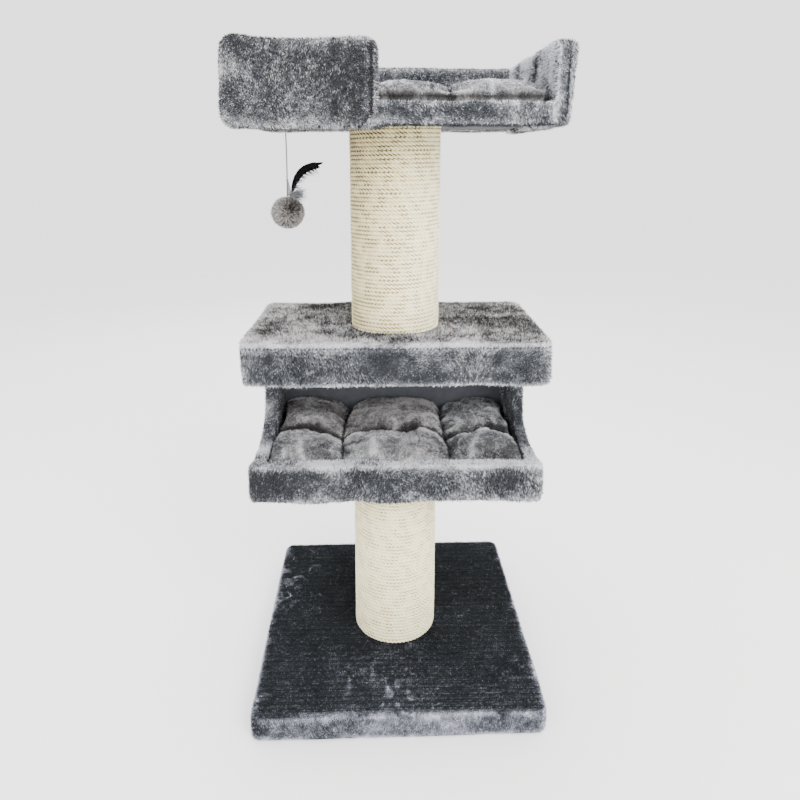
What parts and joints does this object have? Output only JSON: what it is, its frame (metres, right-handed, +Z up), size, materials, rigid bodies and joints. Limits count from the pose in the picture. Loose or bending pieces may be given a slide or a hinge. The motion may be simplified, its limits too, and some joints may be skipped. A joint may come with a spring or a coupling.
{
  "type": "cat tree",
  "caption": "Free-standing cat tree: plush base, thick sisal posts, a half-open cushioned house, and a walled top bed with a loose pad and a hanging pompom toy.",
  "frame": {"origin": "on the floor, under the common axis of the two posts, which is the middle of the base", "axes": "+Z up along the posts, the open front faces -Y, +X to the viewer's right from the front"},
  "size_m": [0.524, 0.504, 1.142],
  "materials": {
    "plush": "short grey plush with a brushed nap",
    "base_plush": "dark grey ribbed plush",
    "cushion_plush": "crushed grey-brown plush",
    "sisal": "natural three-strand sisal rope",
    "cardboard": "wound paper tube",
    "chipboard": "raw chipboard",
    "grey_board": "smooth dark grey laminate",
    "plywood": "raw plywood",
    "steel": "zinc plated",
    "cord": "thin braided cord",
    "ribbon": "satin ribbon",
    "pompom": "fluffy grey yarn",
    "black_feather": "dyed feather",
    "fluff": "down"
  },
  "bodies": {
    "tree": {"base_board": "chipboard", "base_lower_board": "chipboard", "base_cover": "base_plush", "base_screws": "steel", "lower_post_tube": "cardboard", "upper_post_tube": "cardboard", "lower_post_rope": "sisal", "upper_post_rope": "sisal", "lower_post_bottom_plug": "plywood", "lower_post_top_plug": "plywood", "upper_post_bottom_plug": "plywood", "upper_post_top_plug": "plywood", "post_bolts": "steel", "post_washers": "steel", "post_tee_nuts": "steel", "condo_floor_board": "grey_board", "condo_front_board": "chipboard", "condo_left_board": "chipboard", "condo_right_board": "chipboard", "condo_back_board": "grey_board", "condo_screws": "steel", "roof_front_rail": "chipboard", "roof_board": "chipboard", "roof_screws": "steel", "bed_floor_board": "grey_board", "bed_left_board": "chipboard", "bed_right_board": "chipboard", "bed_back_board": "chipboard", "bed_front_panel_board": "chipboard", "bed_front_lip_board": "chipboard", "bed_screws": "steel", "toy_staple": "steel", "bed_right_cover": "plush", "bed_left_cover": "plush", "bed_back_cover": "plush", "bed_front_panel_cover": "plush", "bed_front_lip_cover": "plush", "bed_floor_cover": "plush", "condo_front_cover": "plush", "condo_left_cover": "plush", "condo_right_cover": "plush", "condo_back_cover": "plush", "condo_floor_cover": "plush", "roof_cover": "plush"},
    "bed_pad": {"bed_cushion": "cushion_plush"},
    "condo_pad": {"condo_cushion": "cushion_plush"},
    "toy_pivot": {"toy_knot": "cord"},
    "toy": {"toy_cord": "cord", "toy_tag": "ribbon", "toy_ball": "pompom", "toy_feather": "black_feather", "toy_fluff": "fluff"}
  },
  "joints": [
    {"name": "bed_cushion_lift", "type": "slide", "parent": "tree", "child": "bed_pad", "axis": [0, 0, 1], "range_m": [0, 0.15]},
    {"name": "house_cushion_lift", "type": "slide", "parent": "tree", "child": "condo_pad", "axis": [0, 0, 1], "range_m": [0, 0.06]},
    {"name": "toy_swing_side", "type": "hinge", "parent": "tree", "child": "toy_pivot", "pos_m": [-0.166, -0.168, 1.0084], "axis": [0, 1, 0], "range_deg": [-25, 45]},
    {"name": "toy_swing_front", "type": "hinge", "parent": "toy_pivot", "child": "toy", "pos_m": [-0.166, -0.168, 1.0084], "axis": [1, 0, 0], "range_deg": [-45, 45]}
  ]
}
